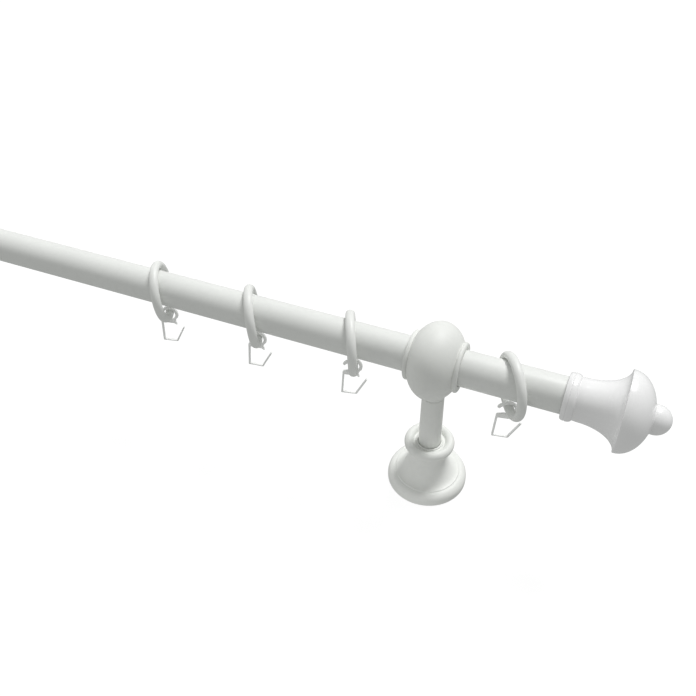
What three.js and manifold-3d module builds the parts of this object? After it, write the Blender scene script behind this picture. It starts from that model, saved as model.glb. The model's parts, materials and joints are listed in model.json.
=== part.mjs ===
// Curtain rod with two turned brackets, two finials and ten hanging rings.
// Millimetres. The wall plane is z = 0 and the rod runs along x, centred on x = 0.
import * as THREE from 'three';
import { mergeVertices } from 'three/addons/utils/BufferGeometryUtils.js';
import Module from 'manifold-3d';

const wasm = await Module();
wasm.setup();

// Driving dimensions.
const rod = { radius: 10, wall: 1.2, length: 1000 };
const axisHeight = 95.5;
const headX = 416;
const restGap = 0.3;
const bore = rod.radius + restGap;

const head = { radius: 21.9, halfWidth: 15.6, collarRadius: 13.9, collarHalf: 1.3, collarCentre: 13.6 };
const neck = { radius: 6.7, bottom: 70 };
const stem = { radius: 6.3, swell: 0.2, bottom: 7.5, spigotRadius: 4, spigotTop: 77 };
const stud = { radius: 3, bottom: 1.6, top: 24 };
const plate = { radius: 19.6, thickness: 2.5, bossRadius: 5.5, bossTop: 7, screwSpacing: 26, screwHole: 2.3 };
const rosette = { radius: 23.7, beadRadius: 14.7, beadHeight: 30.8, dishRadius: 9.3, cavityRadius: 20.4 };
const grub = { radius: 2, length: 9, socketAcross: 2, socketDepth: 2.5 };
const finial = { sleeve: 29.3, rimRadius: 21.5, dome: 14.8, ballRadius: 7.8, ballCentre: 15.3, boreDepth: 16 };
const ring = { bore: 14.1, radial: 4.6, axial: 5.2 };
const hook = { thickness: 1.5, eyeHalf: 3.5, eyeTop: 2.9, eyeBottom: -4.8, wall: 1.8, reach: 22.9 };

// Where the rings hang: distance from the middle of the rod, turn of the ring about the
// vertical, lean of the ring from plumb, and turn and tilt of the hook below it, in degrees.
const hangingRings = [
  { x: -458, turn: -14, lean: 3, hookTurn: -8, hookTilt: 2 },
  { x: -364, turn: 9, lean: 4, hookTurn: 5, hookTilt: -2 },
  { x: -302, turn: -11, lean: -3, hookTurn: -6, hookTilt: 3 },
  { x: -242, turn: 16, lean: 5, hookTurn: 11, hookTilt: -1 },
  { x: -62, turn: -7, lean: -4, hookTurn: -3, hookTilt: 2 },
  { x: 58, turn: 12, lean: 3, hookTurn: 7, hookTilt: -3 },
  { x: 242.2, turn: 25.3, lean: -6.2, hookTurn: 16, hookTilt: -4 },
  { x: 304.2, turn: 26.4, lean: -4.8, hookTurn: 12, hookTilt: -5 },
  { x: 366.6, turn: 23.6, lean: -2.6, hookTurn: 16, hookTilt: -4 },
  { x: 457.2, turn: 31, lean: -1.5, hookTurn: 13, hookTilt: -3 },
];

// Facet counts round the turned pieces.
const facets = { rod: 32, head: 24, rosette: 24, finial: 24, stem: 16, screw: 10, ring: 24, ringSection: 8 };

const finishes = {
  rod: { color: 0xe6e7e4, roughness: 0.4, metalness: 0 },
  bracket: { color: 0xe3e4e1, roughness: 0.35, metalness: 0 },
  finial: { color: 0xf0f1ee, roughness: 0.2, metalness: 0 },
  ring: { color: 0xeaebe8, roughness: 0.4, metalness: 0 },
  hook: { color: 0xf2f2ee, roughness: 0.5, metalness: 0 },
  steel: { color: 0x9fa3a6, roughness: 0.35, metalness: 1 },
};

const group = new THREE.Group();

function degrees(angle) {
  return THREE.MathUtils.degToRad(angle);
}

// Leaves only positions on a geometry, joins its shared corners and drops empty triangles.
function weld(geometry) {
  geometry.deleteAttribute('normal');
  geometry.deleteAttribute('uv');
  const merged = mergeVertices(geometry, 1e-4);
  const corners = merged.index.array;
  const kept = [];
  for (let i = 0; i < corners.length; i += 3) {
    const [a, b, c] = [corners[i], corners[i + 1], corners[i + 2]];
    if (a !== b && b !== c && c !== a) kept.push(a, b, c);
  }
  merged.setIndex(kept);
  return merged;
}

function toSolid(geometry) {
  const welded = weld(geometry);
  const vertProperties = new Float32Array(welded.attributes.position.array);
  const triVerts = new Uint32Array(welded.index.array);
  return new wasm.Manifold(new wasm.Mesh({ numProp: 3, vertProperties, triVerts }));
}

function toGeometry(solid) {
  const mesh = solid.getMesh();
  const geometry = new THREE.BufferGeometry();
  geometry.setAttribute('position', new THREE.BufferAttribute(new Float32Array(mesh.vertProperties), 3));
  geometry.setIndex(Array.from(mesh.triVerts));
  return geometry;
}

// Points on an ellipse about (radius, along), from one angle to another. Angle 0 points
// away from the axis and 90 degrees points along it.
function arc(radius, along, halfRadius, halfAlong, from, to, steps) {
  const points = [];
  for (let i = 0; i <= steps; i += 1) {
    const angle = degrees(from + ((to - from) * i) / steps);
    points.push([radius + halfRadius * Math.cos(angle), along + halfAlong * Math.sin(angle)]);
  }
  return points;
}

// A turned piece about z. The profile lists [radius, height], upward on its outside.
function turned(profile, count) {
  const points = profile.map(([radius, height]) => new THREE.Vector2(radius, height));
  return new THREE.LatheGeometry(points, count).rotateX(Math.PI / 2);
}

// The same piece laid along +x, with a facet corner on top.
function turnedAlongX(profile, count) {
  return turned(profile, count).rotateY(Math.PI / 2);
}

function rodCylinder(radius, from, to, count) {
  return turned([[0, from], [radius, from], [radius, to], [0, to]], count);
}

function addMesh(name, geometry, finish, parent = group) {
  const mesh = new THREE.Mesh(weld(geometry), new THREE.MeshStandardMaterial(finishes[finish]));
  mesh.name = name;
  parent.add(mesh);
  return mesh;
}

// The rod is an open-ended tube.
function rodTube() {
  const half = rod.length / 2;
  const inner = rod.radius - rod.wall;
  const profile = [[inner, -half], [rod.radius, -half], [rod.radius, half], [inner, half], [inner, -half]];
  return turnedAlongX(profile, facets.rod);
}

// Bracket head: a flattened bead round the rod with a collar bead on each side, a neck
// below it with a blind socket for the stem, and a tapped hole for the screw that locks the rod.
function bracketHead() {
  const half = head.collarHalf;
  const collarRadius = head.collarRadius - half;
  const end = head.collarCentre + half;
  const creaseAngle = 52.6;
  const profile = [
    [bore, -end],
    ...arc(collarRadius, -head.collarCentre, half, half, -90, 60, 4),
    ...arc(0, 0, head.radius, head.halfWidth, -creaseAngle, creaseAngle, 8),
    ...arc(collarRadius, head.collarCentre, half, half, -60, 90, 4),
    [bore, end],
    [bore, -end],
  ];
  const body = toSolid(turnedAlongX(profile, facets.head).translate(0, 0, axisHeight));
  const neckTop = axisHeight - rod.radius - 4;
  const neckSolid = toSolid(rodCylinder(neck.radius, neck.bottom, neckTop, facets.stem));
  const socketRadius = stem.spigotRadius + restGap;
  const socketTop = stem.spigotTop + restGap;
  const socket = toSolid(rodCylinder(socketRadius, neck.bottom - 1, socketTop, facets.stem));
  const screwHole = rodCylinder(grub.radius + restGap, rod.radius - 1, head.radius + 2, facets.screw);
  const tapped = toSolid(screwHole.rotateX(-Math.PI / 2).translate(0, 0, axisHeight));
  return toGeometry(body.add(neckSolid).subtract(socket).subtract(tapped));
}

// Stem with a slight swell, a bored foot for the stud and a spigot that enters the head.
function bracketStem() {
  const shoulder = neck.bottom - restGap;
  const boredTop = stud.top + 1;
  const hole = stud.radius + restGap;
  const middle = (stem.bottom + shoulder) / 2;
  const profile = [
    [hole, stem.bottom],
    [stem.radius, stem.bottom],
    [stem.radius + stem.swell, middle],
    [stem.radius, shoulder],
    [stem.spigotRadius, shoulder],
    [stem.spigotRadius, stem.spigotTop],
    [0, stem.spigotTop],
    [0, boredTop],
    [hole, boredTop],
    [hole, stem.bottom],
  ];
  return turned(profile, facets.stem);
}

// Threaded stud that joins the wall plate to the stem.
function stemStud() {
  const chamfer = 0.6;
  const profile = [
    [0, stud.bottom],
    [stud.radius - chamfer, stud.bottom],
    [stud.radius, stud.bottom + chamfer],
    [stud.radius, stud.top - chamfer],
    [stud.radius - chamfer, stud.top],
    [0, stud.top],
  ];
  return turned(profile, facets.screw);
}

// Steel wall plate with a tapped boss for the stud and two countersunk screw holes.
function wallPlate() {
  const holeBottom = stud.bottom - restGap;
  const holeRadius = stud.radius + restGap;
  const profile = [
    [0, 0],
    [plate.radius, 0],
    [plate.radius, plate.thickness],
    [plate.bossRadius, plate.thickness],
    [plate.bossRadius, plate.bossTop],
    [holeRadius, plate.bossTop],
    [holeRadius, holeBottom],
    [0, holeBottom],
  ];
  let solid = toSolid(turned(profile, facets.rosette));
  const sink = plate.screwHole * 2;
  const countersunk = [
    [0, -1],
    [plate.screwHole, -1],
    [plate.screwHole, plate.thickness - plate.screwHole / 2],
    [sink, plate.thickness + plate.screwHole / 2],
    [0, plate.thickness + plate.screwHole / 2],
  ];
  for (const side of [-1, 1]) {
    const hole = turned(countersunk, facets.screw).translate(0, (side * plate.screwSpacing) / 2, 0);
    solid = solid.subtract(toSolid(hole));
  }
  return toGeometry(solid);
}

// Cover rosette: a foot with a quarter round, a fine step, a cove, and a bead round a shallow
// dish, in which a small raised ring fits round the stem.
function coverRosette() {
  const beadHalf = (rosette.beadRadius - rosette.dishRadius) / 2;
  const beadCentre = rosette.dishRadius + beadHalf;
  const beadRise = 3;
  const stemHole = stem.radius + stem.swell + restGap;
  const dishDepth = 2.5;
  const floorAboveCentre = beadRise - dishDepth;
  const dishFloor = rosette.beadHeight + floorAboveCentre;
  const floorAngle = 180 - THREE.MathUtils.radToDeg(Math.asin(floorAboveCentre / beadRise));
  const stemRingWidth = 1.3;
  const stemRingRise = 0.9;
  const stepRadius = 19.4;
  const stepHeight = 7.5;
  const footSquare = 2.4;
  const footRound = stepHeight - footSquare - 0.5;
  const neckRadius = 10.4;
  const coveRadius = stepRadius - 0.5;
  const coveRise = rosette.beadHeight - beadRise - stepHeight - 1.3;
  const cavityTop = 5;
  const profile = [
    [rosette.cavityRadius, 0],
    [rosette.radius, 0],
    ...arc(stepRadius, footSquare, rosette.radius - stepRadius, footRound, 0, 90, 3),
    [coveRadius, stepHeight],
    ...arc(coveRadius, stepHeight + coveRise, coveRadius - neckRadius, coveRise, -90, -180, 4).slice(1),
    ...arc(beadCentre, rosette.beadHeight, beadHalf, beadRise, -75, floorAngle, 7),
    [stemHole + stemRingWidth, dishFloor],
    ...arc(stemHole + stemRingWidth / 2, dishFloor, stemRingWidth / 2, stemRingRise, 30, 150, 2),
    [stemHole, dishFloor],
    [stemHole, cavityTop],
    [rosette.cavityRadius, cavityTop],
    [rosette.cavityRadius, 0],
  ];
  return turned(profile, facets.rosette);
}

// Finial: a bead at the mouth, a sleeve that flares to a sharp rim, a dome and a small ball.
// Its mouth is at 0 and it points along +x. The bore is blind and takes the rod's end.
function finialBody() {
  const beadHalf = 3.1;
  const beadRadius = 12.8;
  const sleeveRadius = 11.6;
  const rimBack = 0.5;
  const flareStart = 9;
  const junctionAngle = 68;
  const flare = finial.sleeve - rimBack - flareStart;
  const profile = [
    [bore, 0],
    ...arc(beadRadius - 1.4, beadHalf, 1.4, beadHalf, -70, 90, 4),
    ...arc(finial.rimRadius, flareStart, finial.rimRadius - sleeveRadius, flare, 180, 90, 6),
    [finial.rimRadius, finial.sleeve],
    ...arc(0, finial.sleeve, finial.rimRadius, finial.dome, 0, junctionAngle, 6).slice(1),
    ...arc(0, finial.sleeve + finial.ballCentre, finial.ballRadius, finial.ballRadius, -8, 90, 5),
    [0, finial.boreDepth],
    [bore, finial.boreDepth],
    [bore, 0],
  ];
  return turnedAlongX(profile, facets.finial);
}

// Set screw with a hexagon socket, its point just off the rod, along +y.
function lockScrew() {
  const tip = rod.radius + restGap;
  const body = toSolid(rodCylinder(grub.radius, tip, tip + grub.length, facets.screw));
  const socketRadius = grub.socketAcross / Math.sqrt(3);
  const top = tip + grub.length;
  const socket = toSolid(rodCylinder(socketRadius, top - grub.socketDepth, top + 1, 6));
  return toGeometry(body.subtract(socket)).rotateX(-Math.PI / 2);
}

// Ring of oval section about x, its bore's top at the origin.
function curtainRing() {
  const section = ring.radial / 2;
  const torus = new THREE.TorusGeometry(ring.bore + section, section, facets.ringSection, facets.ring);
  torus.scale(1, 1, ring.axial / ring.radial);
  torus.rotateY(Math.PI / 2);
  return torus.translate(0, 0, -ring.bore);
}

// Pleat hook, cut from flat sheet in the xz plane. The origin is the middle of its eye.
// The eye snaps over the ring; the leg, foot and rising arm below hold the curtain's pleats.
function pleatHook() {
  const legOut = -5.9;
  const legIn = -4.75;
  const footBottom = -hook.reach;
  const footTop = footBottom + 0.9;
  const barTop = -5.3;
  const barBottom = -7.9;
  const eyeMiddle = (hook.eyeTop + hook.eyeBottom) / 2;
  const eyeRise = (hook.eyeTop - hook.eyeBottom) / 2;
  const outerHalf = hook.eyeHalf + hook.wall;
  const outerRise = eyeRise + hook.wall;
  const shape = new THREE.Shape();
  shape.moveTo(-5, -0.9);
  shape.lineTo(-6.1, -0.1);
  shape.quadraticCurveTo(-5.5, 2, -3.5, 2.9);
  shape.absellipse(0, eyeMiddle, outerHalf, outerRise, degrees(128), degrees(-22), true);
  shape.quadraticCurveTo(3.5, -4.6, 3.3, -6.2);
  shape.lineTo(4.3, -9.3);
  shape.lineTo(2.3, barBottom);
  shape.lineTo(legIn, barBottom);
  shape.lineTo(legIn, footTop);
  shape.lineTo(2.6, footTop);
  shape.lineTo(7.9, -10);
  shape.lineTo(8.8, -10.3);
  shape.lineTo(3.4, footBottom);
  shape.lineTo(legOut, footBottom);
  shape.lineTo(legOut, barTop - 0.9);
  shape.quadraticCurveTo(legOut + 0.1, barTop, legOut + 1.2, barTop);
  shape.absellipse(0, eyeMiddle, hook.eyeHalf, eyeRise, degrees(-118), degrees(144), false);
  shape.quadraticCurveTo(-3.6, 0.9, -5, -0.9);
  const options = { depth: hook.thickness, bevelEnabled: false, curveSegments: 5 };
  const sheet = new THREE.ExtrudeGeometry(shape, options);
  return sheet.translate(0, 0, -hook.thickness / 2).rotateX(Math.PI / 2);
}

function addBracket(side, x) {
  const bracket = new THREE.Group();
  bracket.position.x = x;
  group.add(bracket);
  addMesh(`bracket_head_${side}`, bracketHead(), 'bracket', bracket);
  addMesh(`bracket_stem_${side}`, bracketStem(), 'bracket', bracket);
  addMesh(`cover_rosette_${side}`, coverRosette(), 'bracket', bracket);
  addMesh(`wall_plate_${side}`, wallPlate(), 'steel', bracket);
  addMesh(`stem_stud_${side}`, stemStud(), 'steel', bracket);
  addMesh(`rod_lock_screw_${side}`, lockScrew().translate(0, 0, axisHeight), 'steel', bracket);
}

function addFinial(side, direction) {
  const mouth = rod.length / 2 - finial.boreDepth + restGap;
  const mesh = addMesh(`finial_${side}`, finialBody(), 'finial');
  mesh.position.set(direction * mouth, 0, axisHeight);
  mesh.rotation.z = direction > 0 ? 0 : Math.PI;
}

// Each ring hangs from the rod's top line and carries a hook at its lowest point.
function addHangingRing(number, station) {
  const hanger = new THREE.Group();
  hanger.position.set(station.x, 0, axisHeight + rod.radius + restGap);
  hanger.rotation.set(0, degrees(station.lean), degrees(station.turn), 'ZYX');
  group.add(hanger);
  addMesh(`curtain_ring_${number}`, curtainRing(), 'ring', hanger);

  const lowest = new THREE.Vector3(0, 0, -2 * ring.bore - ring.radial / 2);
  const hanging = new THREE.Group();
  hanging.position.copy(lowest.applyEuler(hanger.rotation).add(hanger.position));
  hanging.rotation.set(0, degrees(-station.hookTilt), degrees(station.hookTurn), 'ZYX');
  group.add(hanging);
  addMesh(`pleat_hook_${number}`, pleatHook(), 'hook', hanging);
}

addMesh('rod', rodTube().translate(0, 0, axisHeight), 'rod');
addBracket('left', -headX);
addBracket('right', headX);
addFinial('left', -1);
addFinial('right', 1);
hangingRings.forEach((station, index) => addHangingRing(index + 1, station));

export default group;
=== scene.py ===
"""A white curtain rod on two turned brackets, with finials, hanging rings and pleat hooks.

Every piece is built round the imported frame. Lengths are in millimetres, angles in degrees;
solid_from() and metres() turn millimetres into the metres that Blender and the frame use.
"""
import json
import math

import bmesh
import bpy
import numpy as np
from mathutils import Matrix, Vector


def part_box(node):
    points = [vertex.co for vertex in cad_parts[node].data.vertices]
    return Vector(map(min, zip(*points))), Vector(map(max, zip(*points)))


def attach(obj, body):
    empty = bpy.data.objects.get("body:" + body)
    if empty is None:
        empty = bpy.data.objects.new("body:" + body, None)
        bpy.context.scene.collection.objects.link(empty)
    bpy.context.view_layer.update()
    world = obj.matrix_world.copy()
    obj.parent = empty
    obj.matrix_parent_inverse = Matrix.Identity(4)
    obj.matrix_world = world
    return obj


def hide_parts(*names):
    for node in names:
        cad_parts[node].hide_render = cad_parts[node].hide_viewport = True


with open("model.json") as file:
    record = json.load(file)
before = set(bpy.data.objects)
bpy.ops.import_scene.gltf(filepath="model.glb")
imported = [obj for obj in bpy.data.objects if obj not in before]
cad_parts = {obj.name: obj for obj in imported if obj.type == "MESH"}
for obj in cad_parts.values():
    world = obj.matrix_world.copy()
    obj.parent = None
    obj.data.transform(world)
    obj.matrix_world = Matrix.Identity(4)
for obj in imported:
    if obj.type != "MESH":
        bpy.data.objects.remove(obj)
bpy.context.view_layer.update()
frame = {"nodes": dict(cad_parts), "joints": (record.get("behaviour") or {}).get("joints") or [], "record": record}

MM_PER_M = 1000.0
GAP = 0.3  # clearance between touching pieces
SIDES = {"left": -1, "right": 1}
RING_COUNT = 10

HEAD = {"bead_half": 15.6, "collar_radius": 13.9, "collar_half": 1.3, "crease_angle": 52.6,
        "neck_radius": 6.7, "neck_inset": 4.0, "socket_top": 77.3}
STEM = {"radius": 6.3, "swell": 0.2, "spigot_radius": 4.0, "bore_top": 25.0, "seam": 0.3}
STUD = {"radius": 3.0, "pitch": 1.0, "chamfer": 0.6}
PLATE = {"thickness": 2.5, "boss_radius": 5.5, "screw_spacing": 26.0, "screw_hole": 2.3}
ROSETTE = {"bead_radius": 14.7, "bead_rise": 3.0, "dish_radius": 9.3, "dish_depth": 2.5,
           "stem_ring_width": 1.3, "stem_ring_rise": 0.9, "neck_radius": 10.4, "neck_length": 1.3,
           "step_radius": 19.4, "step_height": 7.5, "step_ledge": 0.5, "foot_square": 2.4,
           "cavity_radius": 20.4, "cavity_top": 5.0}
LOCK_SCREW = {"radius": 2.0, "pitch": 0.7, "socket_across": 2.0, "socket_depth": 2.5}
FINIAL = {"bead_radius": 12.8, "bead_half": 3.1, "bead_depth": 1.4, "groove_depth": 0.4, "groove_at": 0.85,
          "sleeve_radius": 11.6, "flare_start": 9.0, "rim": 29.3, "rim_radius": 21.5, "rim_back": 0.5,
          "dome": 14.8, "junction_angle": 68.0, "ball_radius": 7.8, "ball_centre": 15.3,
          "bore_depth": 16.0}
HOOK = {"thickness": 1.5, "eye_half": 3.5, "eye_top": 2.9, "eye_bottom": -4.8, "wall": 1.8,
        "reach": 22.9, "leg_out": -5.9, "leg_in": -4.75, "bar_top": -5.3, "bar_bottom": -7.9,
        "foot": 0.9, "edge": 0.28}


# ---------------------------------------------------------------- frame

node_body = {node: body for body, nodes in frame["record"]["behaviour"]["bodies"].items() for node in nodes}
joints = {joint["name"]: joint for joint in frame["joints"]}


def node_box(node):
    """Lowest and highest corner of a CAD node, in millimetres."""
    low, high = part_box(node)
    return low * MM_PER_M, high * MM_PER_M


def node_points(node):
    """A CAD node's corners, in millimetres."""
    return np.array([corner.co for corner in frame["nodes"][node].data.vertices]) * MM_PER_M


def metres(*lengths):
    """Millimetres as metres."""
    return tuple(length / MM_PER_M for length in lengths)


# ---------------------------------------------------------------- outlines

def arc(centre, half, start, stop, steps):
    """Points on an ellipse, where angle 0 lies along the first axis and 90 along the second."""
    angles = np.radians(np.linspace(start, stop, steps + 1))
    return [(centre[0] + half[0] * math.cos(a), centre[1] + half[1] * math.sin(a)) for a in angles]


def bend(start, pull, stop, steps):
    """Points on a quadratic curve from start to stop."""
    points = []
    for t in np.linspace(0, 1, steps + 1):
        weights = ((1 - t) ** 2, 2 * t * (1 - t), t * t)
        points.append(tuple(sum(w * p[i] for w, p in zip(weights, (start, pull, stop))) for i in (0, 1)))
    return points


def without_repeats(points):
    """The points without those that repeat the one before."""
    kept = []
    for point in points:
        if not kept or math.dist(point, kept[-1]) > 1e-4:
            kept.append(point)
    return kept


def softened(points, radius, closed=True, corner=24.0, steps=4):
    """The outline with every corner that turns more than the given angle rounded off."""
    points = without_repeats(points)
    if closed and math.dist(points[0], points[-1]) < 1e-4:
        points.pop()
    count = len(points)
    rounded = []
    for i, point in enumerate(points):
        if not closed and i in (0, count - 1):
            rounded.append(point)
            continue
        before = Vector(point) - Vector(points[i - 1])
        after = Vector(points[(i + 1) % count]) - Vector(point)
        turn = before.angle(after)
        if math.degrees(turn) < corner:
            rounded.append(point)
            continue
        cut = min(radius * math.tan(turn / 2), 0.45 * before.length, 0.45 * after.length)
        entry = Vector(point) - before.normalized() * cut
        leave = Vector(point) + after.normalized() * cut
        rounded += bend(tuple(entry), point, tuple(leave), steps)
    if closed:
        rounded.append(rounded[0])
    return rounded


# ---------------------------------------------------------------- solids

ALONG_Z = Matrix.Identity(4)
ALONG_X = Matrix.Rotation(math.radians(90), 4, "Y")
ALONG_MINUS_X = Matrix.Rotation(math.radians(-90), 4, "Y")
ALONG_Y = Matrix.Rotation(math.radians(-90), 4, "X")


def place(x, y, z, turn=ALONG_Z):
    """The matrix that turns a thing and then moves it to x, y, z."""
    return Matrix.Translation((x, y, z)) @ turn


def solid_from(name, points, faces, matrix=ALONG_Z):
    """A smooth-shaded mesh object from points in millimetres, with its faces pointing out."""
    placed = [matrix @ Vector(point) / MM_PER_M for point in points]
    mesh = bpy.data.meshes.new(name)
    mesh.from_pydata([tuple(point) for point in placed], [], faces)
    work = bmesh.new()
    work.from_mesh(mesh)
    bmesh.ops.remove_doubles(work, verts=work.verts, dist=1e-8)
    bmesh.ops.recalc_face_normals(work, faces=work.faces)
    work.to_mesh(mesh)
    work.free()
    mesh.shade_smooth()
    thing = bpy.data.objects.new(name, mesh)
    bpy.context.scene.collection.objects.link(thing)
    return thing


def spun(rows, count):
    """Points and faces of rings of points: each row gives (radius, height) at each of count angles."""
    points = []
    faces = []
    starts = []
    for row in rows:
        starts.append(len(points))
        if max(radius for radius, _ in row) < 1e-6:
            points.append((0.0, 0.0, row[0][1]))
            continue
        for k, (radius, height) in enumerate(row):
            angle = 2 * math.pi * k / count
            points.append((radius * math.cos(angle), radius * math.sin(angle), height))
    sizes = [b - a for a, b in zip(starts, starts[1:] + [len(points)])]
    for i in range(len(rows) - 1):
        low, high = starts[i], starts[i + 1]
        for k in range(count):
            after = (k + 1) % count
            corners = [low + (k if sizes[i] > 1 else 0), low + (after if sizes[i] > 1 else 0),
                       high + (after if sizes[i + 1] > 1 else 0), high + (k if sizes[i + 1] > 1 else 0)]
            face = list(dict.fromkeys(corners))
            if len(face) > 2:
                faces.append(face)
    return points, faces


def turned(name, profile, matrix=ALONG_Z, count=96):
    """A turned solid. The profile lists (radius, height) and closes on itself or on the axis."""
    rows = [[(radius, height)] * count for radius, height in profile]
    points, faces = spun(rows, count)
    return solid_from(name, points, faces, matrix)


def threaded(name, radius, pitch, bottom, top, chamfer, matrix=ALONG_Z, count=40):
    """A screw with a real helical thread and a chamfer at each end."""
    root = radius - 0.6 * pitch
    rows_per_turn = 8
    rows = [[(0.0, bottom)] * count]
    steps = round((top - bottom) / pitch * rows_per_turn)
    for i in range(steps + 1):
        height = bottom + (top - bottom) * i / steps
        limit = radius - chamfer + min(height - bottom, top - height)
        row = []
        for k in range(count):
            phase = (height / pitch - k / count) % 1.0
            ridge = min(1.0, max(0.0, 1.35 - 2.9 * abs(phase - 0.5)))
            row.append((min(root + (radius - root) * ridge, limit), height))
        rows.append(row)
    rows.append([(0.0, top)] * count)
    points, faces = spun(rows, count)
    return solid_from(name, points, faces, matrix)


def apply_modifiers(thing):
    """Replaces the mesh by what its modifiers make of it."""
    shape = thing.evaluated_get(bpy.context.evaluated_depsgraph_get())
    mesh = bpy.data.meshes.new_from_object(shape)
    thing.modifiers.clear()
    thing.data = mesh


def combine(body, tool, operation):
    """Joins or cuts body with tool, which is used up."""
    boolean = body.modifiers.new("combine", "BOOLEAN")
    boolean.operation = operation
    boolean.solver = "EXACT"
    boolean.object = tool
    apply_modifiers(body)
    bpy.data.objects.remove(tool)


def ease_edges(thing, width, corner=32.0):
    """A small real round along every edge sharper than corner."""
    bevel = thing.modifiers.new("ease", "BEVEL")
    bevel.width = width / MM_PER_M
    bevel.segments = 3
    bevel.limit_method = "ANGLE"
    bevel.angle_limit = math.radians(corner)
    bevel.use_clamp_overlap = True
    bevel.loop_slide = True
    apply_modifiers(thing)
    thing.data.shade_smooth()


def stand_for(thing, node, material):
    """thing shows instead of a CAD node: it rides on that node's body and takes the given finish."""
    weighted = thing.modifiers.new("even shading", "WEIGHTED_NORMAL")
    weighted.keep_sharp = True
    thing.data.materials.clear()
    thing.data.materials.append(material)
    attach(thing, node_body[node])
    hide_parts(node)
    return thing


# ---------------------------------------------------------------- materials

class Finish:
    """A Principled material whose nodes are wired by small helpers."""

    def __init__(self, name, roughness, **settings):
        self.material = bpy.data.materials.new(name)
        self.material.use_nodes = True
        self.tree = self.material.node_tree
        self.shader = self.tree.nodes["Principled BSDF"]
        self.shader.inputs["Roughness"].default_value = roughness
        for socket, value in settings.items():
            self.shader.inputs[socket.replace("_", " ")].default_value = value
        self.place = self.tree.nodes.new("ShaderNodeTexCoord").outputs["Object"]

    def node(self, kind, inputs=None, **settings):
        """A shader node with its settings, and its inputs linked or set."""
        node = self.tree.nodes.new(kind)
        for key, value in settings.items():
            setattr(node, key, value)
        for socket, value in (inputs or {}).items():
            if isinstance(value, bpy.types.NodeSocket):
                self.tree.links.new(value, node.inputs[socket])
            else:
                node.inputs[socket].default_value = value
        return node

    def stretched(self, scale):
        """Object coordinates scaled along each axis, for grain that has a direction."""
        return self.node("ShaderNodeMapping", {"Vector": self.place, "Scale": scale}).outputs["Vector"]

    def noise(self, size, detail=3.0, vector=None, roughness=0.55):
        """Noise from 0 to 1 whose lumps are about size millimetres across."""
        inputs = {"Vector": vector or self.place, "Scale": MM_PER_M / size, "Detail": detail,
                  "Roughness": roughness}
        return self.node("ShaderNodeTexNoise", inputs).outputs["Fac"]

    def ramp(self, value, low, high, low_out=0.0, high_out=1.0):
        """value from low..high mapped to low_out..high_out, and held at the ends."""
        inputs = {"Value": value, "From Min": low, "From Max": high, "To Min": low_out, "To Max": high_out}
        return self.node("ShaderNodeMapRange", inputs, clamp=True).outputs["Result"]

    def mix(self, factor, first, second):
        """The colour between first and second, each an output or three numbers."""
        node = self.tree.nodes.new("ShaderNodeMix")
        node.data_type = "RGBA"
        self.tree.links.new(factor, node.inputs["Factor"])
        for socket, value in ((node.inputs[6], first), (node.inputs[7], second)):
            if isinstance(value, bpy.types.NodeSocket):
                self.tree.links.new(value, socket)
            else:
                socket.default_value = (*value, 1.0)
        return node.outputs[2]

    def edges(self):
        """0 in hollows, 0.5 on flats and 1 on edges."""
        return self.node("ShaderNodeNewGeometry").outputs["Pointiness"]

    def sum(self, first, second, weight):
        """first plus weight times second."""
        inputs = {0: second, 1: weight, 2: first}
        return self.node("ShaderNodeMath", inputs, operation="MULTIPLY_ADD").outputs[0]

    def bump(self, layers):
        """Bump from (height, depth in millimetres) layers, laid one on another."""
        normal = None
        for height, depth in layers:
            inputs = {"Height": height, "Distance": depth / MM_PER_M, "Strength": 1.0}
            if normal is not None:
                inputs["Normal"] = normal
            normal = self.node("ShaderNodeBump", inputs).outputs["Normal"]
        self.tree.links.new(normal, self.shader.inputs["Normal"])

    def connect(self, colour, roughness):
        """The material, with its colour and roughness linked."""
        self.tree.links.new(colour, self.shader.inputs["Base Color"])
        self.tree.links.new(roughness, self.shader.inputs["Roughness"])
        return self.material


def white_finish(name, colour, shade, roughness, peel, drawn=False, **settings):
    """A white coat or moulding: faint mottle, painted shade with a little dust in its hollows, rubbed edges and a
    fine skin.

    colour and shade are the two whites that mottle into each other, peel the depth of the skin's
    dimples, and drawn adds the long faint lines of a drawn tube.
    """
    finish = Finish(name, roughness, **settings)
    cloud = finish.ramp(finish.noise(38, 2), 0.35, 0.65)
    mottle = finish.mix(cloud, colour, shade)
    fine = finish.ramp(finish.noise(3.2, 4), 0.45, 0.75)
    speckled = finish.mix(fine, mottle, tuple(0.985 * part for part in shade))
    # Painted shade: hollows (low pointiness) are darkened towards 0.62 of the shade colour, standing in for
    # occlusion, with a little dust.
    shade_and_dust = finish.ramp(finish.edges(), 0.38, 0.485, 0.35, 0.0)
    shaded_and_dusty = finish.mix(shade_and_dust, speckled, tuple(0.62 * part for part in shade))
    rubbed = finish.ramp(finish.edges(), 0.53, 0.62, 0.0, 0.5)
    worn = finish.mix(rubbed, shaded_and_dusty, tuple(min(1.0, 1.03 * part) for part in colour))
    gloss = finish.ramp(finish.noise(7, 4), 0.3, 0.7, roughness - 0.045, roughness + 0.06)
    handled = finish.sum(gloss, rubbed, -0.08)
    layers = [(finish.noise(1.5, 2), peel), (finish.noise(0.32, 2), 0.35 * peel)]
    if drawn:
        lines = finish.noise(1.0, 2, finish.stretched((0.012, 1.0, 1.0)))
        layers.append((lines, 0.5 * peel))
    finish.bump(layers)
    return finish.connect(worn, handled)


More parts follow.
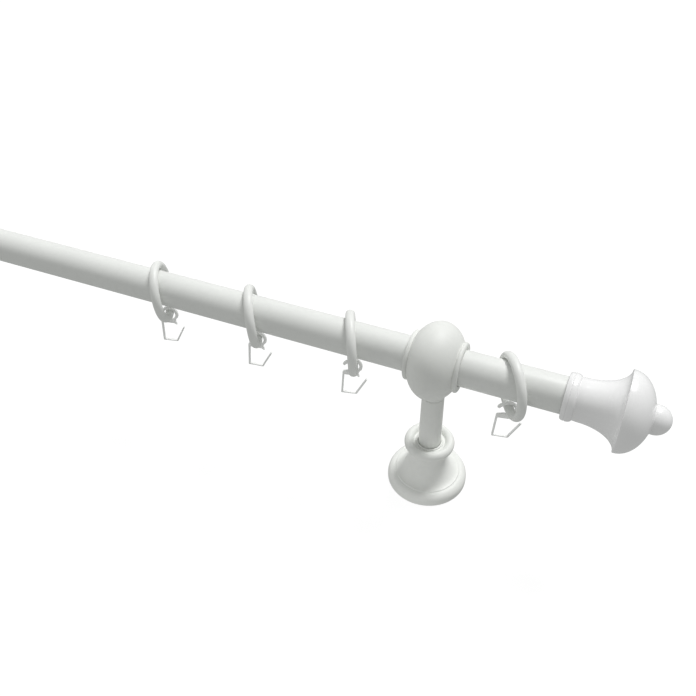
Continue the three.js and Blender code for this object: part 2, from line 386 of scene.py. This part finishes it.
def steel_finish(name):
    """Zinc-plated steel with fine turning marks and a mottled plating."""
    finish = Finish(name, 0.34, Metallic=1.0)
    cloud = finish.ramp(finish.noise(6, 4), 0.35, 0.68)
    plated = finish.mix(cloud, (0.60, 0.61, 0.62), (0.70, 0.71, 0.70))
    stain = finish.ramp(finish.edges(), 0.36, 0.49, 0.6, 0.0)
    stained = finish.mix(stain, plated, (0.30, 0.29, 0.27))
    scratches = finish.noise(0.5, 3, finish.stretched((1.0, 0.06, 1.0)))
    gloss = finish.ramp(scratches, 0.3, 0.7, 0.26, 0.46)
    finish.bump([(scratches, 0.012), (finish.noise(0.8, 3), 0.01)])
    return finish.connect(stained, gloss)


FINISHES = {
    "rod_paint": white_finish("white_rod_paint", (0.80, 0.81, 0.79), (0.775, 0.785, 0.765),
                              roughness=0.40, peel=0.016, drawn=True),
    "bracket_paint": white_finish("white_bracket_paint", (0.80, 0.81, 0.785), (0.775, 0.785, 0.76),
                                  roughness=0.50, peel=0.014, Specular_IOR_Level=0.4),
    "finial_gloss": white_finish("white_finial_gloss", (0.915, 0.912, 0.915), (0.90, 0.897, 0.90),
                                 roughness=0.22, peel=0.006, Coat_Weight=0.3, Coat_Roughness=0.08),
    "ring_plastic": white_finish("white_ring_plastic", (0.81, 0.82, 0.80), (0.79, 0.80, 0.78),
                                 roughness=0.42, peel=0.010),
    "hook_plastic": white_finish("white_hook_plastic", (0.90, 0.905, 0.89), (0.88, 0.885, 0.87),
                                 roughness=0.45, peel=0.010, Subsurface_Weight=0.6,
                                 Subsurface_Radius=(1.0, 1.0, 1.0), Subsurface_Scale=0.002),
    "steel": steel_finish("zinc_plated_steel"),
}


# ---------------------------------------------------------------- rod and brackets

rod_low, rod_high = node_box("rod")
axis_height = (rod_low.z + rod_high.z) / 2
rod_radius = (rod_high.z - rod_low.z) / 2
rod_half = (rod_high.x - rod_low.x) / 2
bore = rod_radius + GAP


def make_rod():
    """A thin tube with eased lips, painted outside and in."""
    wall = 1.2
    inner = rod_radius - wall
    profile = [(inner, -rod_half), (rod_radius, -rod_half), (rod_radius, rod_half), (inner, rod_half),
               (inner, -rod_half)]
    tube = turned("rod_tube", softened(profile, 0.35), place(0, 0, axis_height, ALONG_X), 128)
    stand_for(tube, "rod", FINISHES["rod_paint"])


def make_head(side):
    """Flattened bead and its two collar beads, with the neck that takes the stem."""
    node = f"bracket_head_{side}"
    low, high = node_box(node)
    middle = (low.x + high.x) / 2
    end = (high.x - low.x) / 2
    radius = high.z - axis_height
    half = HEAD["collar_half"]
    collar = (HEAD["collar_radius"] - half, end - half)
    crease = HEAD["crease_angle"]
    profile = [
        (bore, -end),
        *arc((collar[0], -collar[1]), (half, half), -90, 60, 16),
        *arc((0, 0), (radius, HEAD["bead_half"]), -crease, crease, 56),
        *arc(collar, (half, half), -60, 90, 16),
        (bore, end),
        (bore, -end),
    ]
    head = turned(f"{node}_bead", softened(profile, 0.3), place(middle, 0, axis_height, ALONG_X), 112)
    neck_radius = HEAD["neck_radius"]
    neck_top = axis_height - rod_radius - HEAD["neck_inset"]
    neck_profile = [(0, low.z), (neck_radius, low.z), (neck_radius, neck_top), (0, neck_top)]
    neck = turned("neck", softened(neck_profile, 0.6, closed=False), place(middle, 0, 0), 72)
    combine(head, neck, "UNION")
    socket_radius = STEM["spigot_radius"] + GAP
    socket_profile = [(0, low.z - 1), (socket_radius, low.z - 1), (socket_radius, HEAD["socket_top"]),
                      (0, HEAD["socket_top"])]
    combine(head, turned("socket", socket_profile, place(middle, 0, 0), 48), "DIFFERENCE")
    hole_radius = LOCK_SCREW["radius"] + GAP
    hole_profile = [(0, rod_radius - 1), (hole_radius, rod_radius - 1), (hole_radius, radius + 2),
                    (0, radius + 2)]
    hole = turned("hole", hole_profile, place(middle, 0, axis_height, ALONG_Y), 40)
    combine(head, hole, "DIFFERENCE")
    ease_edges(head, 0.3)
    stand_for(head, node, FINISHES["bracket_paint"])


def make_stem(side):
    """Slightly swelling stem with a spigot above and a bored foot below."""
    node = f"bracket_stem_{side}"
    low, high = node_box(node)
    shoulder = node_box(f"bracket_head_{side}")[0].z - GAP - STEM["seam"]
    hole = STUD["radius"] + GAP
    length = shoulder - low.z
    swelling = []
    for t in np.linspace(0, 1, 25):
        radius = STEM["radius"] + STEM["swell"] * math.sin(math.pi * t)
        swelling.append((radius, low.z + t * length))
    profile = [
        (hole, low.z),
        *swelling,
        (STEM["spigot_radius"], shoulder),
        (STEM["spigot_radius"], high.z),
        (0, high.z),
        (0, STEM["bore_top"]),
        (hole, STEM["bore_top"]),
        (hole, low.z),
    ]
    middle = (low.x + high.x) / 2
    stem = turned(f"{node}_turned", softened(profile, 0.5), place(middle, 0, 0), 80)
    stand_for(stem, node, FINISHES["bracket_paint"])


def make_rosette(side):
    """Hollow cover with a round foot, a fine step, a cove, and a bead round a shallow dish.

    A small raised ring in the dish fits round the stem.
    """
    node = f"cover_rosette_{side}"
    low, high = node_box(node)
    radius = (high.x - low.x) / 2
    bead_half = (ROSETTE["bead_radius"] - ROSETTE["dish_radius"]) / 2
    bead_height = high.z - ROSETTE["bead_rise"]
    dish_floor = high.z - ROSETTE["dish_depth"]
    floor_angle = 180 - math.degrees(math.asin((dish_floor - bead_height) / ROSETTE["bead_rise"]))
    stem_hole = STEM["radius"] + STEM["swell"] + GAP / 2
    ring_half = ROSETTE["stem_ring_width"] / 2
    step_radius = ROSETTE["step_radius"]
    step_height = ROSETTE["step_height"]
    foot_square = ROSETTE["foot_square"]
    foot_round = (radius - step_radius, step_height - foot_square - ROSETTE["step_ledge"])
    cove_out = step_radius - ROSETTE["step_ledge"]
    cove_rise = high.z - 2 * ROSETTE["bead_rise"] - step_height - ROSETTE["neck_length"]
    cove = (cove_out - ROSETTE["neck_radius"], cove_rise)
    bead = (bead_half, ROSETTE["bead_rise"])
    profile = [
        (ROSETTE["cavity_radius"], 0),
        (radius, 0),
        *arc((step_radius, foot_square), foot_round, 0, 90, 20),
        (cove_out, step_height),
        *arc((cove_out, step_height + cove_rise), cove, -90, -180, 32)[1:],
        *arc((ROSETTE["dish_radius"] + bead_half, bead_height), bead, -75, floor_angle, 40),
        *arc((stem_hole + ring_half, dish_floor), (ring_half, ROSETTE["stem_ring_rise"]), 0, 180, 14),
        (stem_hole, ROSETTE["cavity_top"]),
        (ROSETTE["cavity_radius"], ROSETTE["cavity_top"]),
        (ROSETTE["cavity_radius"], 0),
    ]
    middle = (low.x + high.x) / 2
    rosette = turned(f"{node}_turned", softened(profile, 0.25), place(middle, 0, 0), 128)
    stand_for(rosette, node, FINISHES["bracket_paint"])


def make_plate(side):
    """Steel plate with a tapped boss and two countersunk screw holes."""
    node = f"wall_plate_{side}"
    low, high = node_box(node)
    radius = (high.x - low.x) / 2
    middle = (low.x + high.x) / 2
    thickness = PLATE["thickness"]
    hole = STUD["radius"] + GAP
    hole_bottom = node_box(f"stem_stud_{side}")[0].z - GAP
    profile = [(0, 0), (radius, 0), (radius, thickness), (PLATE["boss_radius"], thickness),
               (PLATE["boss_radius"], high.z), (hole, high.z), (hole, hole_bottom), (0, hole_bottom)]
    plate = turned(f"{node}_steel", softened(profile, 0.4, closed=False), place(middle, 0, 0), 96)
    shank = PLATE["screw_hole"]
    sunk = [(0, -1), (shank, -1), (shank, thickness - shank / 2), (2 * shank, thickness + shank / 2),
            (0, thickness + shank / 2)]
    for end in (-1, 1):
        tool = turned("countersink", sunk, place(middle, end * PLATE["screw_spacing"] / 2, 0), 48)
        combine(plate, tool, "DIFFERENCE")
    ease_edges(plate, 0.15)
    stand_for(plate, node, FINISHES["steel"])


def make_stud(side):
    """Threaded stud that joins the plate and the stem."""
    node = f"stem_stud_{side}"
    low, high = node_box(node)
    middle = (low.x + high.x) / 2
    stud = threaded(f"{node}_thread", STUD["radius"], STUD["pitch"], low.z, high.z, STUD["chamfer"],
                    place(middle, 0, 0))
    stand_for(stud, node, FINISHES["steel"])


def make_lock_screw(side):
    """Set screw with a hexagon socket, seen in the tapped hole behind the head."""
    node = f"rod_lock_screw_{side}"
    low, high = node_box(node)
    middle = (low.x + high.x) / 2
    across = place(middle, 0, axis_height, ALONG_Y)
    chamfer = 0.35
    screw = threaded(f"{node}_thread", LOCK_SCREW["radius"], LOCK_SCREW["pitch"], low.y, high.y, chamfer,
                     across)
    corner = LOCK_SCREW["socket_across"] / math.sqrt(3)
    floor = high.y - LOCK_SCREW["socket_depth"]
    hexagon = [(0, floor), (corner, floor), (corner, high.y + 1), (0, high.y + 1)]
    combine(screw, turned("hexagon", hexagon, across, 6), "DIFFERENCE")
    screw.data.set_sharp_from_angle(angle=math.radians(40))
    stand_for(screw, node, FINISHES["steel"])


# ---------------------------------------------------------------- finials

def make_finial(side, direction):
    """Bead with a fine groove at the mouth, a sleeve flaring to a crisp rim, a dome and a small ball."""
    node = f"finial_{side}"
    low, high = node_box(node)
    mouth = low.x if direction > 0 else high.x
    rim = (FINIAL["rim_radius"], FINIAL["rim"])
    sleeve = FINIAL["sleeve_radius"]
    start = FINIAL["flare_start"]
    bead = FINIAL["bead_half"]
    ball = FINIAL["ball_radius"]
    crest = (FINIAL["bead_radius"] - FINIAL["bead_depth"], bead)
    bulge = (FINIAL["bead_depth"], bead)
    profile = [
        (bore, 0),
        *arc(crest, bulge, -70, -16, 12),
        (FINIAL["bead_radius"] - FINIAL["groove_depth"], FINIAL["groove_at"] * bead),
        *arc(crest, bulge, -3, 90, 16),
        *arc((rim[0], start), (rim[0] - sleeve, rim[1] - FINIAL["rim_back"] - start), 180, 90, 40),
        rim,
        *arc((0, rim[1]), (rim[0], FINIAL["dome"]), 0, FINIAL["junction_angle"], 40)[1:],
        *arc((0, rim[1] + FINIAL["ball_centre"]), (ball, ball), -8, 90, 28),
        (0, FINIAL["bore_depth"]),
        (bore, FINIAL["bore_depth"]),
        (bore, 0),
    ]
    turn = ALONG_X if direction > 0 else ALONG_MINUS_X
    finial = turned(f"{node}_turned", softened(profile, 0.28), place(mouth, 0, axis_height, turn), 128)
    stand_for(finial, node, FINISHES["finial_gloss"])


# ---------------------------------------------------------------- rings and hooks

def make_ring(number):
    """Ring of oval section. Its centre, tilt and section are measured on the CAD ring."""
    node = f"curtain_ring_{number}"
    points = node_points(node)
    centre = points.mean(axis=0)
    normal = Vector(np.linalg.svd(points - centre, full_matrices=False)[2][2])
    along = (points - centre) @ np.array(normal)
    spread = np.sqrt(((points - centre) ** 2).sum(axis=1) - along**2)
    inner = float(spread.min())
    outer = float(spread.max())
    section = ((outer - inner) / 2, float(along.max()))
    profile = arc(((inner + outer) / 2, 0), section, 0, 360, 36)
    matrix = Matrix.Translation(centre) @ normal.to_track_quat("Z", "Y").to_matrix().to_4x4()
    ring = turned(f"{node}_moulded", profile, matrix, 128)
    stand_for(ring, node, FINISHES["ring_plastic"])


def hook_outline():
    """Outline of the pleat hook in its own plane: the eye's middle at 0, the foot below."""
    eye_middle = (HOOK["eye_top"] + HOOK["eye_bottom"]) / 2
    eye_rise = (HOOK["eye_top"] - HOOK["eye_bottom"]) / 2
    outer = (HOOK["eye_half"] + HOOK["wall"], eye_rise + HOOK["wall"])
    bottom = -HOOK["reach"]
    foot_top = bottom + HOOK["foot"]
    leg_out = HOOK["leg_out"]
    leg_in = HOOK["leg_in"]
    top = HOOK["bar_top"]
    outside = arc((0, eye_middle), outer, 128, -22, 30)
    inside = arc((0, eye_middle), (HOOK["eye_half"], eye_rise), -118, 144, 44)
    outline = [
        (-5, -0.9),
        *bend((-6.1, -0.1), (-5.5, 2), (-3.5, 2.9), 8),
        *outside,
        *bend(outside[-1], (3.5, -4.6), (3.3, -6.2), 8),
        (4.3, -9.3),
        (2.3, HOOK["bar_bottom"]),
        (leg_in, HOOK["bar_bottom"]),
        (leg_in, foot_top),
        (2.6, foot_top),
        (7.9, -10),
        (8.8, -10.3),
        (3.4, bottom),
        (leg_out, bottom),
        *bend((leg_out, top - 0.9), (leg_out + 0.1, top), (leg_out + 1.2, top), 6),
        *inside,
        *bend(inside[-1], (-3.6, 0.9), (-5, -0.9), 6),
    ]
    return softened(outline, 0.45)[:-1]


def make_hook(number):
    """Pleat hook with eased edges. Its pivot, plane and tilt come from the CAD hook and its hinge."""
    node = f"pleat_hook_{number}"
    hinge = joints[f"hook_swing_{number}"]
    pivot = Vector(hinge["pos_m"]) * MM_PER_M
    across = Vector(hinge["axis"]).normalized()
    level = across.cross(Vector((0, 0, 1)))
    arms = node_points(node) - np.array(pivot)
    far = Vector(arms[np.argmax((arms**2).sum(axis=1))])
    heel_angle = math.atan2(-HOOK["leg_out"], HOOK["reach"])
    tilt = heel_angle - math.atan2(-far.dot(level), -far.z)
    outline = hook_outline()

    curve = bpy.data.curves.new(node, "CURVE")
    curve.dimensions = "2D"
    curve.fill_mode = "BOTH"
    curve.extrude = (HOOK["thickness"] / 2 - HOOK["edge"]) / MM_PER_M
    curve.bevel_depth = HOOK["edge"] / MM_PER_M
    curve.bevel_resolution = 3
    curve.offset = -HOOK["edge"] / MM_PER_M
    spline = curve.splines.new("POLY")
    spline.points.add(len(outline) - 1)
    spline.use_cyclic_u = True
    for point, (u, v) in zip(spline.points, outline):
        point.co = (*metres(u, v, 0), 1)
    flat = bpy.data.objects.new(node, curve)
    bpy.context.scene.collection.objects.link(flat)
    mesh = bpy.data.meshes.new_from_object(flat.evaluated_get(bpy.context.evaluated_depsgraph_get()))
    bpy.data.objects.remove(flat)

    plane = Matrix((level, Vector((0, 0, 1)), -across)).transposed().to_4x4()
    lean = Matrix.Rotation(tilt, 4, "Z")
    mesh.transform(Matrix.Translation(pivot / MM_PER_M) @ plane @ lean)
    work = bmesh.new()
    work.from_mesh(mesh)
    bmesh.ops.remove_doubles(work, verts=work.verts, dist=1e-6)
    bmesh.ops.recalc_face_normals(work, faces=work.faces)
    work.to_mesh(mesh)
    work.free()
    mesh.shade_smooth()
    hook = bpy.data.objects.new(f"{node}_moulded", mesh)
    bpy.context.scene.collection.objects.link(hook)
    stand_for(hook, node, FINISHES["hook_plastic"])


make_rod()
for side_name, side_sign in SIDES.items():
    make_head(side_name)
    make_stem(side_name)
    make_rosette(side_name)
    make_plate(side_name)
    make_stud(side_name)
    make_lock_screw(side_name)
    make_finial(side_name, side_sign)
for ring_number in range(1, RING_COUNT + 1):
    make_ring(ring_number)
    make_hook(ring_number)


# ---------------------------------------------------------------- camera, light and floor

def add_camera():
    """A close view from the front right, looking down on the bracket and the finial."""
    azimuth, elevation, roll = 23.5, 42.2, -1.1
    data = bpy.data.cameras.new("camera")
    data.sensor_width = 36.0
    data.lens = 40.87
    data.clip_start = 0.01
    camera = bpy.data.objects.new("camera", data)
    swing = Matrix.Rotation(math.radians(azimuth), 4, "Z")
    dip = Matrix.Rotation(math.radians(90 - elevation), 4, "X")
    spin = Matrix.Rotation(math.radians(roll), 4, "Z")
    camera.matrix_world = place(*metres(495.4, -300.1, 384.3)) @ swing @ dip @ spin
    bpy.context.scene.collection.objects.link(camera)
    bpy.context.scene.camera = camera


def add_sun(name, strength, spread, azimuth, elevation):
    """A soft distant lamp that shines from the given compass angle, 0 at the back (+Y), and height."""
    data = bpy.data.lights.new(name, "SUN")
    data.energy = strength
    data.angle = math.radians(spread)
    lamp = bpy.data.objects.new(name, data)
    a, e = math.radians(azimuth), math.radians(elevation)
    source = Vector((math.sin(a) * math.cos(e), math.cos(a) * math.cos(e), math.sin(e)))
    lamp.rotation_euler = source.to_track_quat("Z", "Y").to_euler()
    bpy.context.scene.collection.objects.link(lamp)


def add_wall_bounce(side, watts):
    """A small dim panel by the wall, for the light that a white wall throws back on the stem."""
    low, high = node_box(f"bracket_stem_{side}")
    middle = (low.x + high.x) / 2
    lamp_at = Vector((middle, -72, 14))
    aim = Vector((middle, 0, 34))
    data = bpy.data.lights.new(f"wall_bounce_{side}", "AREA")
    data.shape = "DISK"
    data.size = 70 / MM_PER_M
    data.energy = watts
    lamp = bpy.data.objects.new(f"wall_bounce_{side}", data)
    lamp.location = lamp_at / MM_PER_M
    lamp.rotation_euler = (lamp_at - aim).to_track_quat("Z", "Y").to_euler()
    lamp.visible_camera = False
    lamp.visible_glossy = False
    bpy.context.scene.collection.objects.link(lamp)


def add_world(ambient):
    """Even soft light from all sides. The backdrop behind the object is plain white."""
    world = bpy.data.worlds.new("studio")
    world.use_nodes = True
    tree = world.node_tree
    tree.nodes.clear()
    path = tree.nodes.new("ShaderNodeLightPath")
    fill = tree.nodes.new("ShaderNodeBackground")
    fill.inputs["Color"].default_value = (0.985, 1.0, 0.985, 1.0)
    fill.inputs["Strength"].default_value = ambient
    backdrop = tree.nodes.new("ShaderNodeBackground")
    backdrop.inputs["Color"].default_value = (1.0, 1.0, 1.0, 1.0)
    mix = tree.nodes.new("ShaderNodeMixShader")
    output = tree.nodes.new("ShaderNodeOutputWorld")
    tree.links.new(path.outputs["Is Camera Ray"], mix.inputs["Fac"])
    tree.links.new(fill.outputs[0], mix.inputs[1])
    tree.links.new(backdrop.outputs[0], mix.inputs[2])
    tree.links.new(mix.outputs[0], output.inputs["Surface"])
    bpy.context.scene.world = world


def add_floor():
    """A plain white floor just under the wall plates, which takes only faint shadows."""
    reach = 20.0  # metres
    corners = [(-reach, -reach, 0), (reach, -reach, 0), (reach, reach, 0), (-reach, reach, 0)]
    mesh = bpy.data.meshes.new("floor")
    mesh.from_pydata(corners, [], [(0, 1, 2, 3)])
    floor = bpy.data.objects.new("floor", mesh)
    floor.location.z = -0.4 / MM_PER_M
    material = bpy.data.materials.new("pale_floor")
    material.use_nodes = True
    shader = material.node_tree.nodes["Principled BSDF"]
    shader.inputs["Base Color"].default_value = (0.12, 0.12, 0.12, 1)
    shader.inputs["Roughness"].default_value = 0.9
    shader.inputs["Specular IOR Level"].default_value = 0.0
    shader.inputs["Emission Color"].default_value = (1, 1, 1, 1)
    shader.inputs["Emission Strength"].default_value = 0.93
    mesh.materials.append(material)
    floor.visible_diffuse = False
    floor.visible_glossy = False
    floor.visible_shadow = False
    bpy.context.scene.collection.objects.link(floor)


add_camera()
add_sun("key", 2.3, 20, 22, 60)
add_sun("fill", 0.5, 60, -80, 12)
for side_name in SIDES:
    add_wall_bounce(side_name, 0.007)
add_world(0.44)
add_floor()
bpy.context.scene.view_settings.view_transform = "Standard"
